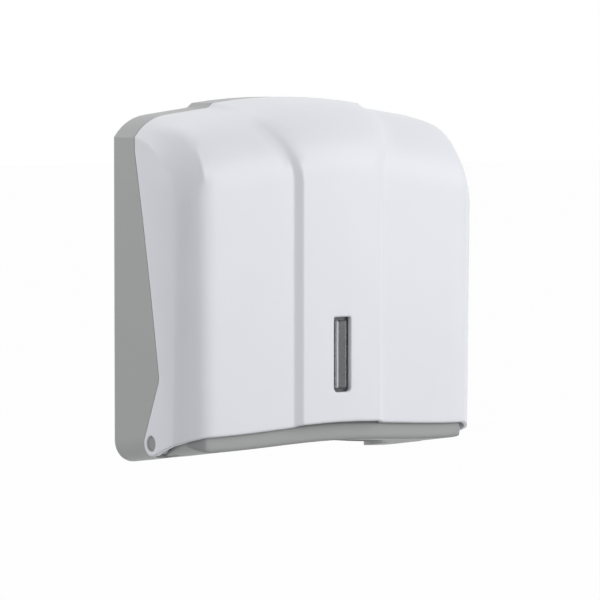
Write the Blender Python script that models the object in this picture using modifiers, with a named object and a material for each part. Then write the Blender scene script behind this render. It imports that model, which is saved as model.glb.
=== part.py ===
"""Folded paper towel dispenser for a wall: chassis, hinged cover, sight window, outlet tray and key lock.

X runs across the front, the wall is the plane Y = 0 and the front faces -Y. Z points up.
The origin is on the wall face, MOUNT_HEIGHT above the lowest edge. In the outlines below a place is
given by its x, its depth from the wall and its height above the lowest edge.
"""
import math

import bmesh
import bpy
from mathutils import Matrix, Vector

# Whole object
WIDTH = 0.280
HEIGHT = 0.281
SEAM_DEPTH = 0.029
PANEL_DEPTH = 0.0995
MOUNT_HEIGHT = 0.150

# Clearances and working values
FIT_GAP = 0.0003
SEAM_GAP = 0.0004
OVERRUN = 0.005
WELD = 0.000001
ROUND_STEPS = 32
ARC_STEPS = 8

# Front outline
LOWER_CORNER_RADIUS = 0.0175
CORNER_RUN = 0.0275
CORNER_RISE = 0.017
EAVE_RISE = 0.0053
CROWN = 0.0047
BAND_RISE = 0.004
BAND_HALF = 0.034
BAND_END_MARGIN = 0.073
STEP_RUN = 0.005
STEP_RUN_AT_SEAM = 0.007

# Underside
UNDERSIDE_RISE = 0.014
REAR_ARCH = 0.009
FRONT_LIP_ARCH = 0.0034

# Cover
COVER_WALL = 0.0026
FACET_DEPTH = 0.0195
FACET_RUN = 0.0175
FACET_BULGE = 0.0032
FACET_BULGE_LOW = 0.0012
SHOULDER_RADIUS = 0.046
SHOULDER_FLAT = 0.002
TOP_SLOPE_SHARE = 0.18
PANEL_CAMBER = 0.0007
BAND_CAMBER = 0.0005
FRONT_ARCH = 0.0047
LOWER_EDGE_RISE = 0.0178
FLARE_POWER_SHARE = 1.4
CORNER_FLARE_SHARE = 0.8
SHOULDER_STEPS = 9
BAND_SHARES = (0.0, 0.25, 0.5, 0.75, 1.0)
STEP_SHARES = ((0.24, 0.1), (0.76, 0.9))
PANEL_SHARES = (0.0, 0.12, 0.3, 0.5, 0.7, 0.88, 1.0)
FACET_SHARES = (0.2, 0.4, 0.6, 0.8, 1.0)
SIDE_SHARES = (0.5, 1.0)

# Rear edge of the cover, seen from the side
SLANT_DROP = 0.041
NOTCH_REACH = 0.0112
NOTCH_HEIGHT = 0.0674
NOTCH_ROUND = 0.003
SLANT_BOW = 0.0012
SLANT_STEPS = 8

# Hinge
PIVOT_DEPTH = 0.051
PIVOT_HEIGHT = 0.0182
EAR_RADIUS = 0.0096
EAR_THICKNESS = 0.006
EAR_POCKET = 0.0012
BOSS_STEP = 0.0004
PIN_HEAD_RADIUS = 0.00565
PIN_HEAD_THICKNESS = 0.0022
PIN_HEAD_SINK = 0.0008
PIN_HEAD_EDGE = 0.0006
PIN_RADIUS = 0.003
PIN_TAIL = 0.0035
PIN_TIP = 0.0008
LUG_RADIUS = 0.0084
LUG_THICKNESS = 0.005
LUG_ROOT_DEPTH = 0.014
CLIP_THICKNESS = 0.001
CLIP_RIM = 0.0028
CLIP_GROOVE = 0.0005

# Chassis
SHELL_WALL = 0.0032
RIM_THICKNESS = 0.0024
RIM_REACH = 0.006
RIM_ROOT = 0.003
RIM_FLOOR = 0.034
RIB_THICKNESS = 0.0018
RIB_RISE = 0.0026
RIB_LOW = 0.046
RIB_DROP = 0.025
RIB_MARGIN = 0.016
RIB_PAIRS = 3
CROSS_RIB_SHARES = (0.28, 0.71)
GUIDE_MARGIN = 0.016
GUIDE_THICKNESS = 0.002
GUIDE_SETBACK = 0.005
GUIDE_FOOT_SETBACK = 0.001
GUIDE_LOW = 0.040
GUIDE_DROP = 0.053
WALL_SLOT_MARGIN = 0.050
WALL_SLOT_LOW = 0.068
WALL_SLOT_DROP = 0.051
WALL_SLOT_WIDTH = 0.0052
WALL_SLOT_LENGTH = 0.011
SLOT_PAD_RADIUS = 0.011
SLOT_PAD_RISE = 0.0014
FLOOR_CUT_MARGIN = 0.042
BACK_NOTCH_HEIGHT = 0.0085
BACK_NOTCH_ROUND = 0.006

# Outlet tray
TRAY_WALL = 0.0026
LIP_GAP = 0.0016
LIP_OVERLAP = 0.0034
TRAY_CORNER_RADIUS = 0.022
SHELF_MARGIN = 0.020
SHELF_HEIGHT = 0.0108
SHELF_NOSE = 0.006
OUTLET_SETBACK = 0.0495
OUTLET_MARGIN = 0.064
OUTLET_HALF_DEPTH = 0.016
OUTLET_WALL = 0.0026
OUTLET_FLARE = 0.0035
TRAY_SCREW_MARGIN = 0.032
TRAY_SCREW_REAR = 0.012
TRAY_SCREW_SETBACK = 0.010
TRAY_SCREW_RADIUS = 0.0016
TRAY_SCREW_HEAD_RADIUS = 0.0036
TRAY_SCREW_HEAD_RISE = 0.0022
SCREW_EDGE = 0.0005
PAD_RADIUS = 0.0045

# Sight window
WINDOW_HALF = 0.008
WINDOW_LOW = 0.0547
WINDOW_HIGH = 0.1125
WINDOW_TOP_ROUND = 0.0012
WINDOW_LOW_ROUND = 0.0035
WINDOW_SETBACK = 0.0045
WINDOW_FRAME = 0.0016
PANE_THICKNESS = 0.002
PANE_MARGIN = 0.004
PANE_TAB = 0.014
PANE_ROUND = 0.003
POST_RADIUS = 0.002
POST_OFFSET = 0.0085
POST_TAIL = 0.0022
WINDOW_CLIP_RIM = 0.003
WINDOW_CLIP_THICKNESS = 0.0008

# Key lock
LOCK_DEPTH = 0.0148
LOCK_BOSS_RADIUS = 0.0125
LOCK_BOSS_RISE = 0.0026
BARREL_RADIUS = 0.0075
BARREL_LENGTH = 0.0155
FLANGE_RADIUS = 0.0095
FLANGE_THICKNESS = 0.0015
FLANGE_SINK = 0.0002
CORE_RADIUS = 0.005
CORE_SINK = 0.0004
CORE_TAIL = 0.0012
NECK_RADIUS = 0.003
KEY_SLOT_HALF = 0.0033
KEY_SLOT_WIDTH = 0.0015
KEY_SLOT_DROP = 0.004
NUT_SIDES = 6
NUT_RADIUS = 0.0104
NUT_THICKNESS = 0.003
CAM_LENGTH = 0.022
CAM_HALF = 0.004
CAM_HUB_RADIUS = 0.0068
CAM_THICKNESS = 0.002
WASHER_RADIUS = 0.0058
WASHER_THICKNESS = 0.0008
CAM_SCREW_RADIUS = 0.0015
CAM_SCREW_HEAD_RADIUS = 0.0035
CAM_SCREW_HEAD_RISE = 0.002
CAM_SCREW_LENGTH = 0.008
CAM_SCREW_END_ROOM = 0.001
HOOK_X = 0.0125
HOOK_WIDTH = 0.008
HOOK_TIP = 0.0035
HOOK_ARM = 0.0035
HOOK_ROOT = 0.012
HOOK_ROOM = 0.001
HOOK_TIP_DROP = 0.0022

# Sizes that follow from those above
HALF = WIDTH / 2
BAND_HALF_AT_SEAM = HALF - BAND_END_MARGIN
SIDE_DEPTH = PANEL_DEPTH - FACET_DEPTH
SLANT_TOP_HEIGHT = HEIGHT - SLANT_DROP
NOTCH_DEPTH = PIVOT_DEPTH + NOTCH_REACH
BAND_TOP = HEIGHT - CROWN
EAVE_X = HALF - CORNER_RUN
CORNER_TOP = BAND_TOP - BAND_RISE - EAVE_RISE
EAVE_SLOPE = EAVE_RISE / (EAVE_X - BAND_HALF_AT_SEAM - STEP_RUN_AT_SEAM)
FACET_X = HALF - FACET_RUN
FOOT_DEPTH = PANEL_DEPTH + PANEL_CAMBER
BAND_DEPTH = FOOT_DEPTH + BAND_RISE
FRONT_DEPTH = BAND_DEPTH + BAND_CAMBER
FACET_TURN = math.atan2(PANEL_DEPTH - SIDE_DEPTH, FACET_RUN)
PANEL_MITRE_SHARE = math.tan(FACET_TURN / 2)
SIDE_MITRE_SHARE = math.tan((math.pi / 2 - FACET_TURN) / 2)
STEP_MITRE_SHARE = math.tan(math.atan2(BAND_RISE, STEP_RUN) / 2)
LOWER_SLOPE = LOWER_EDGE_RISE / (PANEL_DEPTH - PIVOT_DEPTH)
LOWER_ANGLE = math.atan(LOWER_SLOPE)
EAR_REAR = PIVOT_DEPTH - EAR_RADIUS
CHASSIS_LOW_DEPTH = EAR_REAR - SEAM_GAP
LUG_OUTER = HALF - EAR_THICKNESS - FIT_GAP
LUG_INNER = LUG_OUTER - LUG_THICKNESS
LIP_INSET = COVER_WALL + LIP_GAP
TOP_START = SEAM_DEPTH + SHOULDER_FLAT
RIM_INSET = COVER_WALL + SEAM_GAP + TOP_SLOPE_SHARE * RIM_REACH
RIM_INNER = RIM_INSET + RIM_THICKNESS
GUIDE_HALF = HALF - GUIDE_MARGIN
GUIDE_DEPTH = SEAM_DEPTH - GUIDE_SETBACK
GUIDE_FOOT_DEPTH = CHASSIS_LOW_DEPTH - GUIDE_FOOT_SETBACK
GUIDE_HIGH = HEIGHT - GUIDE_DROP
RIB_SPACING = (GUIDE_HALF - RIB_MARGIN) / RIB_PAIRS
RIB_HIGH = HEIGHT - RIB_DROP
WALL_SLOT_X = HALF - WALL_SLOT_MARGIN
WALL_SLOT_HEIGHTS = (WALL_SLOT_LOW, HEIGHT - WALL_SLOT_DROP)
FLOOR_CUT_HALF = HALF - FLOOR_CUT_MARGIN
SHELF_HALF = HALF - SHELF_MARGIN
OUTLET_DEPTH = PANEL_DEPTH - OUTLET_SETBACK
OUTLET_HALF = HALF - OUTLET_MARGIN
SHELF_FRONT = OUTLET_DEPTH + SHELF_NOSE
TRAY_SCREW_X = HALF - TRAY_SCREW_MARGIN
TRAY_SCREW_DEPTHS = {"rear": TRAY_SCREW_REAR, "front": CHASSIS_LOW_DEPTH - TRAY_SCREW_SETBACK}


def mix(start, end, share):
    return start + (end - start) * share


def place(x, depth, height):
    """A point of the outlines in the part's own frame."""
    return Vector((x, -depth, height - MOUNT_HEIGHT))


def corner_circle():
    """Centre and radius of the arc that meets the eave without a kink and ends at the side wall."""
    eave = math.atan(EAVE_SLOPE)
    chord = math.atan2(CORNER_RISE, CORNER_RUN)
    radius = math.hypot(CORNER_RUN, CORNER_RISE) / (2 * math.sin(chord - eave))
    return EAVE_X - radius * math.sin(eave), CORNER_TOP - radius * math.cos(eave), radius


CORNER_X, CORNER_HEIGHT, CORNER_RADIUS = corner_circle()


def top_height(x, inset):
    """Height of the front outline beside the centre band."""
    if x <= EAVE_X:
        return CORNER_TOP + (EAVE_X - x) * EAVE_SLOPE - inset
    return CORNER_HEIGHT + math.sqrt((CORNER_RADIUS - inset) ** 2 - (x - CORNER_X) ** 2)


def underside(depth):
    """Height of the bottom at its sides, which rises towards the front."""
    return UNDERSIDE_RISE * depth / PANEL_DEPTH


def underside_arch(depth):
    """How much higher the bottom is in the middle."""
    return mix(REAR_ARCH, FRONT_LIP_ARCH, depth / PANEL_DEPTH)


def lower_edge(depth):
    """Height of the cover's lower edge: a slanted line that touches the ear from below."""
    return PIVOT_HEIGHT - EAR_RADIUS / math.cos(LOWER_ANGLE) + (depth - PIVOT_DEPTH) * LOWER_SLOPE


# Scene and objects

def clear_scene():
    for obj in list(bpy.data.objects):
        bpy.data.objects.remove(obj, do_unlink=True)
    for collection in list(bpy.data.collections):
        bpy.data.collections.remove(collection)


def new_collection(name):
    collection = bpy.data.collections.new(name)
    bpy.context.scene.collection.children.link(collection)
    return collection


def new_material(name, colour, roughness, metallic=0.0, alpha=1.0):
    material = bpy.data.materials.new(name)
    material.use_nodes = True
    shader = material.node_tree.nodes["Principled BSDF"]
    shader.inputs["Base Color"].default_value = (*colour, 1.0)
    shader.inputs["Roughness"].default_value = roughness
    shader.inputs["Metallic"].default_value = metallic
    shader.inputs["Alpha"].default_value = alpha
    return material


def add_object(name, mesh, material=None):
    """A sub-part when it has a material, otherwise a cutter."""
    obj = bpy.data.objects.new(name, mesh)
    if material:
        PARTS.objects.link(obj)
        mesh.materials.append(material)
    else:
        CUTTERS.objects.link(obj)
        obj.hide_render = True
        obj.display_type = "WIRE"
    return obj


def finish_mesh(name, bm):
    bmesh.ops.remove_doubles(bm, verts=bm.verts, dist=WELD)
    bmesh.ops.dissolve_degenerate(bm, edges=bm.edges, dist=WELD)
    bmesh.ops.recalc_face_normals(bm, faces=bm.faces)
    mesh = bpy.data.meshes.new(name)
    bm.to_mesh(mesh)
    bm.free()
    return mesh


def combine(target, other, operation):
    step = target.modifiers.new(operation.lower() + "_" + other.name, "BOOLEAN")
    step.operation = operation
    step.solver = "EXACT"
    step.object = other
    return target


def cut(target, *cutters):
    for cutter in cutters:
        combine(target, cutter, "DIFFERENCE")
    return target


def join(target, *others):
    for other in others:
        combine(target, other, "UNION")
    return target


def keep(target, *others):
    for other in others:
        combine(target, other, "INTERSECT")
    return target


def smooth(obj, degrees=30):
    """Smooth shading that large flat faces lead, so that small cuts don't shade them."""
    obj.data.shade_smooth()
    obj.data.set_sharp_from_angle(angle=math.radians(degrees))
    even = obj.modifiers.new("even_shading", "WEIGHTED_NORMAL")
    even.keep_sharp = True
    return obj


# Outlines

def arc(centre, radius, start, end, steps):
    """Points of an arc, angles in degrees."""
    found = []
    for step in range(steps + 1):
        angle = math.radians(mix(start, end, step / steps))
        found.append((centre[0] + radius * math.cos(angle), centre[1] + radius * math.sin(angle)))
    return found


def slot_outline(centre, half_length, half_width, upright=False):
    """A slot with round ends."""
    reach = half_length - half_width
    points = arc((reach, 0), half_width, -90, 90, ARC_STEPS)
    points += arc((-reach, 0), half_width, 90, 270, ARC_STEPS)
    if upright:
        points = [(-v, u) for u, v in points]
    return [(centre[0] + u, centre[1] + v) for u, v in points]


def box_outline(left, right, low, high):
    return [(left, low), (right, low), (right, high), (left, high)]


def round_box(left, right, low, high, low_radius, high_radius):
    """A rectangle with its own corner radius below and above."""
    return (
        arc((right - low_radius, low + low_radius), low_radius, -90, 0, ARC_STEPS)
        + arc((right - high_radius, high - high_radius), high_radius, 0, 90, ARC_STEPS)
        + arc((left + high_radius, high - high_radius), high_radius, 90, 180, ARC_STEPS)
        + arc((left + low_radius, low + low_radius), low_radius, 180, 270, ARC_STEPS)
    )


VIEWS = {
    "front": (Matrix(((1, 0, 0), (0, 0, -1), (0, 1, 0))), 1),
    "side": (Matrix(((0, 0, -1), (-1, 0, 0), (0, 1, 0))), -1),
    "plan": (Matrix(((1, 0, 0), (0, -1, 0), (0, 0, -1))), -1),
}


def plate(name, view, outline, start, end, material=None):
    """An outline drawn in one view and given its thickness from start to end.

    The front view is x by height, the side view depth by height and the plan view x by depth.
    """
    curve = bpy.data.curves.new(name, "CURVE")
    curve.dimensions = "2D"
    curve.fill_mode = "BOTH"
    curve.extrude = abs(end - start) / 2
    spline = curve.splines.new("POLY")
    spline.points.add(len(outline) - 1)
    for point, (u, v) in zip(spline.points, outline):
        point.co = (u, v, 0, 1)
    spline.use_cyclic_u = True
    drawn = bpy.data.objects.new(name + "_outline", curve)
    bpy.context.scene.collection.objects.link(drawn)
    graph = bpy.context.evaluated_depsgraph_get()
    flat = bpy.data.meshes.new_from_object(drawn.evaluated_get(graph))
    bpy.data.objects.remove(drawn, do_unlink=True)
    turn, sign = VIEWS[view]
    bm = bmesh.new()
    bm.from_mesh(flat)
    bmesh.ops.translate(bm, verts=bm.verts, vec=(0, 0, sign * (start + end) / 2))
    bmesh.ops.transform(bm, verts=bm.verts, matrix=turn.to_4x4())
    bmesh.ops.translate(bm, verts=bm.verts, vec=(0, 0, -MOUNT_HEIGHT))
    return add_object(name, finish_mesh(name, bm), material)


def rod(name, view, centre, radius, start, end, steps=ROUND_STEPS):
    """A round cutter or boss along the axis of a view."""
    turn, sign = VIEWS[view]
    bm = bmesh.new()
    bmesh.ops.create_cone(
        bm, cap_ends=True, segments=steps, radius1=radius, radius2=radius, depth=abs(end - start)
    )
    bmesh.ops.translate(bm, verts=bm.verts, vec=(centre[0], centre[1], sign * (start + end) / 2))
    bmesh.ops.transform(bm, verts=bm.verts, matrix=turn.to_4x4())
    bmesh.ops.translate(bm, verts=bm.verts, vec=(0, 0, -MOUNT_HEIGHT))
    return add_object(name, finish_mesh(name, bm))


def turned(name, profile, where, material, turn_y=0.0, steps=ROUND_STEPS):
    """A turned piece: its profile is radius by height, from the top down, and turn_y tips its axis."""
    mesh = bpy.data.meshes.new(name)
    edges = [(i, i + 1) for i in range(len(profile) - 1)]
    mesh.from_pydata([(radius, 0, height) for radius, height in profile], edges, [])
    obj = add_object(name, mesh, material)
    screw = obj.modifiers.new("turn", "SCREW")
    screw.axis = "Z"
    screw.steps = steps
    screw.render_steps = steps
    screw.use_merge_vertices = True
    screw.merge_threshold = WELD
    screw.use_smooth_shade = True
    obj.location = where
    obj.rotation_euler = (0, math.radians(turn_y), 0)
    return obj


def ring_profile(inner, outer, low, high, edge):
    """Profile of a ring with its outer edges broken, closed on itself."""
    return [
        (inner, high), (outer - edge, high), (outer, high - edge), (outer, low + edge),
        (outer - edge, low), (inner, low), (inner, high),
    ]


def loft(name, rings, material=None):
    """A closed solid through rings of equal count, with flat ends."""
    bm = bmesh.new()
    rows = [[bm.verts.new(point) for point in ring] for ring in rings]
    count = len(rows[0])
    for near, far in zip(rows, rows[1:]):
        for i in range(count):
            j = (i + 1) % count
            bm.faces.new((near[i], near[j], far[j], far[i]))
    bm.faces.new(rows[0])
    bm.faces.new(rows[-1])
    return add_object(name, finish_mesh(name, bm), material)


# The cover's skin

def stations(inset, flare, bulge=0.0):
    """Places across one half of the front, from the middle to the side wall: x, depth and top height.

    The band's edge moves outwards with the flare, which is 1 at the seam.
    """
    band = mix(BAND_HALF, BAND_HALF_AT_SEAM, flare) - STEP_MITRE_SHARE * inset
    foot = mix(BAND_HALF + STEP_RUN, BAND_HALF_AT_SEAM + STEP_RUN_AT_SEAM, flare) - STEP_MITRE_SHARE * inset
    edge = FACET_X - PANEL_MITRE_SHARE * inset
    found = []
    for share in BAND_SHARES:
        bow = 1 - share ** 2
        found.append((band * share, BAND_DEPTH + BAND_CAMBER * bow - inset, BAND_TOP + CROWN * bow - inset))
    for run_share, drop_share in STEP_SHARES:
        x = mix(band, foot, run_share)
        depth = mix(BAND_DEPTH, FOOT_DEPTH, drop_share) - inset
        found.append((x, depth, mix(BAND_TOP - inset, top_height(x, inset), drop_share)))
    for share in PANEL_SHARES:
        x = mix(foot, edge, share)
        found.append((x, PANEL_DEPTH + PANEL_CAMBER * (1 - share ** 2) - inset, top_height(x, inset)))
    for share in FACET_SHARES:
        swell = bulge * math.sin(math.pi * share)
        x = mix(edge, HALF - inset, share) + swell * math.sin(FACET_TURN)
        depth = mix(PANEL_DEPTH - inset, SIDE_DEPTH - SIDE_MITRE_SHARE * inset, share)
        found.append((x, depth + swell * math.cos(FACET_TURN), top_height(x, inset)))
    return found


def slope_drop(depth):
    """How far the top has come down at a depth in front of its level rear strip."""
    return TOP_SLOPE_SHARE * (depth - TOP_START)


def on_shoulder(front, top, inset, angle):
    """Depth and height on the arc that joins the front to the sloping top; 0 is the front."""
    radius = SHOULDER_RADIUS - inset
    depth = mix(max(front - radius, TOP_START), front, math.cos(angle))
    return depth, top - slope_drop(depth) - radius * (1 - math.sin(angle))


def whole_row(half, back):
    """Half a row, carried back along the side wall and mirrored."""
    x, depth, height = half[-1]
    half = half + [(x, mix(depth, back, share), height) for share in SIDE_SHARES]
    mirrored = [(-x, depth, height) for x, depth, height in reversed(half[1:])]
    return [place(*point) for point in mirrored + half]


def skin_rows(inset, low, back):
    """Rows from the foot up: along the shoulder's arc, then the start of the slope and the back."""
    rows = [[(x, front, low) for x, front, _ in stations(inset, 0.0, FACET_BULGE_LOW)]]
    for step in range(SHOULDER_STEPS + 1):
        angle = math.radians(90) * step / SHOULDER_STEPS
        rise_share = math.sin(angle)
        flare = CORNER_FLARE_SHARE * rise_share ** FLARE_POWER_SHARE
        places = stations(inset, flare, FACET_BULGE * (1 - rise_share))
        rows.append([(x, *on_shoulder(front, top, inset, angle)) for x, front, top in places])
    for depth in (TOP_START, back):
        rows.append([(x, depth, top) for x, _, top in stations(inset, 1.0)])
    return [whole_row(row, back) for row in rows]


def skin(name, inset, low, back, material=None):
    """A closed solid under the cover's outer surface, from the plane at the back to the front."""
    bm = bmesh.new()
    rows = [[bm.verts.new(point) for point in row] for row in skin_rows(inset, low, back)]
    for lower, upper in zip(rows, rows[1:]):
        for i in range(len(lower) - 1):
            bm.faces.new((lower[i], lower[i + 1], upper[i + 1], upper[i]))
    bm.faces.new(rows[0])
    bm.faces.new([row[0] for row in rows] + rows[-1][1:-1] + [row[-1] for row in reversed(rows)])
    return add_object(name, finish_mesh(name, bm), material)


def rear_edge(shift):
    """The cover's rear edge in the side view, from the top to the ear, moved back by shift."""
    points = [(SEAM_DEPTH - shift, HEIGHT + OVERRUN)]
    for step in range(SLANT_STEPS):
        share = step / SLANT_STEPS
        depth = mix(SEAM_DEPTH, NOTCH_DEPTH, share) + SLANT_BOW * math.sin(math.pi * share)
        points.append((depth - shift, mix(SLANT_TOP_HEIGHT, NOTCH_HEIGHT, share)))
    radius = EAR_RADIUS + shift
    notch = (NOTCH_DEPTH - shift, NOTCH_HEIGHT)
    reach = math.hypot(notch[0] - PIVOT_DEPTH, notch[1] - PIVOT_HEIGHT)
    lean = math.atan2(notch[1] - PIVOT_HEIGHT, notch[0] - PIVOT_DEPTH)
    meet = math.degrees(lean + math.acos(radius / reach))
    ear = arc((PIVOT_DEPTH, PIVOT_HEIGHT), radius, meet, 180, ARC_STEPS)
    points += round_corner(points[-1], notch, ear[0], NOTCH_ROUND)
    return points + ear


def round_corner(before, corner, after, length):
    """Points of a smooth turn that starts and ends one length from the corner."""
    corner = Vector(corner)
    start = corner + (Vector(before) - corner).normalized() * length
    end = corner + (Vector(after) - corner).normalized() * length
    found = []
    for step in range(ARC_STEPS + 1):
        share = step / ARC_STEPS
        found.append(tuple(start.lerp(corner, share).lerp(corner.lerp(end, share), share)))
    return found


def front_side(name, shift):
    """Everything in front of the chassis's edge in the side view, straight down below the ear."""
    points = rear_edge(shift)
    far = FRONT_DEPTH + OVERRUN
    points += [(points[-1][0], -OVERRUN), (far, -OVERRUN), (far, HEIGHT + OVERRUN)]
    return plate(name, "side", points, -HALF - OVERRUN, HALF + OVERRUN)


def below_edge(name, lift):
    """Everything below the cover's arched lower edge, raised by lift."""
    rings = []
    low = lower_edge(0) + lift - OVERRUN
    reach = HALF + OVERRUN
    for depth in (0, FRONT_DEPTH + OVERRUN):
        level = lower_edge(depth) + lift
        ring = [(-reach, low), (-reach, level)]
        for step in range(2 * ARC_STEPS + 1):
            x = mix(-FACET_X, FACET_X, step / (2 * ARC_STEPS))
            ring.append((x, level + FRONT_ARCH * math.cos(math.pi / 2 * x / FACET_X) ** 2))
        ring += [(reach, level), (reach, low)]
        rings.append([place(x, depth, height) for x, height in ring])
    return loft(name, rings)


# The body's section, seen from the front

def body_ring(inset, depth, half_width=HALF, radius=LOWER_CORNER_RADIUS, lift=0.0):
    """Outline of the body at one depth, from the bottom centre round the right side and back."""
    bottom = underside(depth) + inset + lift
    arch = underside_arch(depth)
    corner = radius - inset
    side = half_width - inset
    half = []
    for step in range(ARC_STEPS):
        x = mix(0, side - corner, step / ARC_STEPS)
        half.append((x, bottom + arch * math.cos(math.pi / 2 * x / (side - corner)) ** 2))
    half += arc((side - corner, bottom + corner), corner, -90, 0, ARC_STEPS)
    top = [(min(x, side), height) for x, _, height in stations(inset, 1.0)]
    half += list(reversed(top))
    mirrored = [(-x, height) for x, height in reversed(half[1:-1])]
    return [place(x, depth, height) for x, height in half + mirrored]


def body(name, inset, start, end, material=None, **shape):
    """The body's section carried from one depth to another."""
    depths = [mix(start, end, step / ARC_STEPS) for step in range(ARC_STEPS + 1)]
    return loft(name, [body_ring(inset, depth, **shape) for depth in depths], material)


# Pieces

def hinge_rod(name, side, radius, inner, outer):
    """A round solid on the hinge axis of one side, from inner to outer in x."""
    ends = sorted((side * inner, side * outer))
    return rod(name, "side", (PIVOT_DEPTH, PIVOT_HEIGHT), radius, *ends)


SIDES = {"left": -1, "right": 1}


def make_back_shell(material):
    reach = NOTCH_DEPTH + OVERRUN
    shell = body("back_shell", 0.0, 0.0, reach, material)
    cut(shell, body("shell_hollow", SHELL_WALL, SHELL_WALL, reach + OVERRUN))
    cut(shell, front_side("seam_cut", SEAM_GAP))
    rim = body("rim", SHELL_WALL / 2, SHELL_WALL, reach)
    keep(rim, front_side("rim_root", SEAM_GAP + RIM_ROOT))
    cut(rim, front_side("rim_root_front", SEAM_GAP + BOSS_STEP))
    tongue = body("rim_tongue", RIM_INSET, SHELL_WALL, reach + RIM_REACH)
    keep(tongue, front_side("tongue_rear", SEAM_GAP + RIM_ROOT - BOSS_STEP))
    cut(tongue, front_side("tongue_front", -RIM_REACH))
    join(rim, tongue)
    cut(rim, body("rim_hollow", RIM_INNER, SHELL_WALL + OVERRUN, reach + RIM_REACH + OVERRUN))
    low = box_outline(-HALF, HALF, -OVERRUN, RIM_FLOOR)
    cut(rim, plate("rim_low_cut", "front", low, SHELL_WALL / 2, FRONT_DEPTH))
    join(shell, rim)
    add_hinge_lugs(shell)
    add_back_ribs(shell)
    add_floor_details(shell)
    add_lock_seat(shell)
    return smooth(shell)


def lug_outline(radius):
    """Side view of a lug: a bar from the chassis with a round nose on the hinge axis."""
    nose = arc((PIVOT_DEPTH, PIVOT_HEIGHT), radius, -90, 90, ARC_STEPS)
    return nose + [(LUG_ROOT_DEPTH, PIVOT_HEIGHT + radius), (LUG_ROOT_DEPTH, PIVOT_HEIGHT - radius)]


def add_hinge_lugs(shell):
    for label, side in SIDES.items():
        walls = sorted((side * LUG_INNER, side * LUG_OUTER))
        lug = plate("lug_" + label, "side", lug_outline(LUG_RADIUS), *walls)
        high = PIVOT_HEIGHT + LUG_RADIUS - BOSS_STEP
        root = box_outline(LUG_ROOT_DEPTH + BOSS_STEP, CHASSIS_LOW_DEPTH - EAR_POCKET, PIVOT_HEIGHT, high)
        foot = sorted((side * (LUG_INNER + BOSS_STEP), side * (HALF - SHELL_WALL / 2)))
        join(shell, lug, plate("lug_root_" + label, "side", root, *foot))
    for label, side in SIDES.items():
        bore = PIN_RADIUS + FIT_GAP
        cut(shell, hinge_rod("lug_hole_" + label, side, bore, LUG_INNER - OVERRUN, LUG_OUTER + OVERRUN))


def add_back_ribs(shell):
    start = SHELL_WALL / 2
    crest = SHELL_WALL + RIB_RISE
    places = [0.0] + [sign * RIB_SPACING * pair for pair in range(1, RIB_PAIRS + 1) for sign in (-1, 1)]
    for number, x in enumerate(places):
        outline = box_outline(x - RIB_THICKNESS / 2, x + RIB_THICKNESS / 2, RIB_LOW, RIB_HIGH)
        join(shell, plate(f"rib_{number}", "front", outline, start, crest))
    for number, share in enumerate(CROSS_RIB_SHARES):
        height = mix(RIB_LOW, RIB_HIGH, share)
        reach = GUIDE_HALF + GUIDE_THICKNESS / 2
        outline = box_outline(-reach, reach, height - RIB_THICKNESS / 2, height + RIB_THICKNESS / 2)
        join(shell, plate(f"cross_rib_{number}", "front", outline, start, crest - BOSS_STEP))
    for label, side in SIDES.items():
        outline = [
            (start, GUIDE_LOW), (GUIDE_FOOT_DEPTH, GUIDE_LOW), (GUIDE_FOOT_DEPTH, NOTCH_HEIGHT),
            (GUIDE_DEPTH, GUIDE_HIGH), (start, GUIDE_HIGH),
        ]
        walls = sorted((side * GUIDE_HALF, side * (GUIDE_HALF + GUIDE_THICKNESS)))
        join(shell, plate("guide_" + label, "side", outline, *walls))
    for label, side in SIDES.items():
        for number, height in enumerate(WALL_SLOT_HEIGHTS):
            centre = (side * WALL_SLOT_X, height)
            top = SHELL_WALL + SLOT_PAD_RISE
            join(shell, rod(f"pad_{label}_{number}", "front", centre, SLOT_PAD_RADIUS, start, top))
            outline = slot_outline(centre, WALL_SLOT_LENGTH / 2, WALL_SLOT_WIDTH / 2, upright=True)
            cut(shell, plate(f"wall_slot_{label}_{number}", "front", outline, -OVERRUN, SHELL_WALL + OVERRUN))


def add_floor_details(shell):
    """The floor is open round the outlet, through the back wall too, and has pads under the tray's screws."""
    low = -OVERRUN - BACK_NOTCH_ROUND
    rounds = (BACK_NOTCH_ROUND, BACK_NOTCH_ROUND)
    notch = round_box(-FLOOR_CUT_HALF, FLOOR_CUT_HALF, low, BACK_NOTCH_HEIGHT, *rounds)
    cut(shell, plate("back_notch", "front", notch, -OVERRUN, SHELL_WALL + BOSS_STEP))
    room = box_outline(-FLOOR_CUT_HALF, FLOOR_CUT_HALF, SHELL_WALL, CHASSIS_LOW_DEPTH + OVERRUN)
    top = underside(CHASSIS_LOW_DEPTH) + REAR_ARCH + SHELL_WALL + OVERRUN
    cut(shell, plate("floor_cut", "plan", room, -OVERRUN, top))
    for label, x, row, depth in screw_places():
        top = SHELF_HEIGHT - FIT_GAP
        base = underside(depth) + SHELL_WALL / 2
        join(shell, rod(f"screw_pad_{row}_{label}", "plan", (x, depth), PAD_RADIUS, base, top))
        bore = TRAY_SCREW_RADIUS + FIT_GAP
        cut(shell, rod(f"screw_bore_{row}_{label}", "plan", (x, depth), bore, -OVERRUN, top + OVERRUN))


def screw_places():
    for row, depth in TRAY_SCREW_DEPTHS.items():
        for label, side in SIDES.items():
            yield label, side * TRAY_SCREW_X, row, depth


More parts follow.
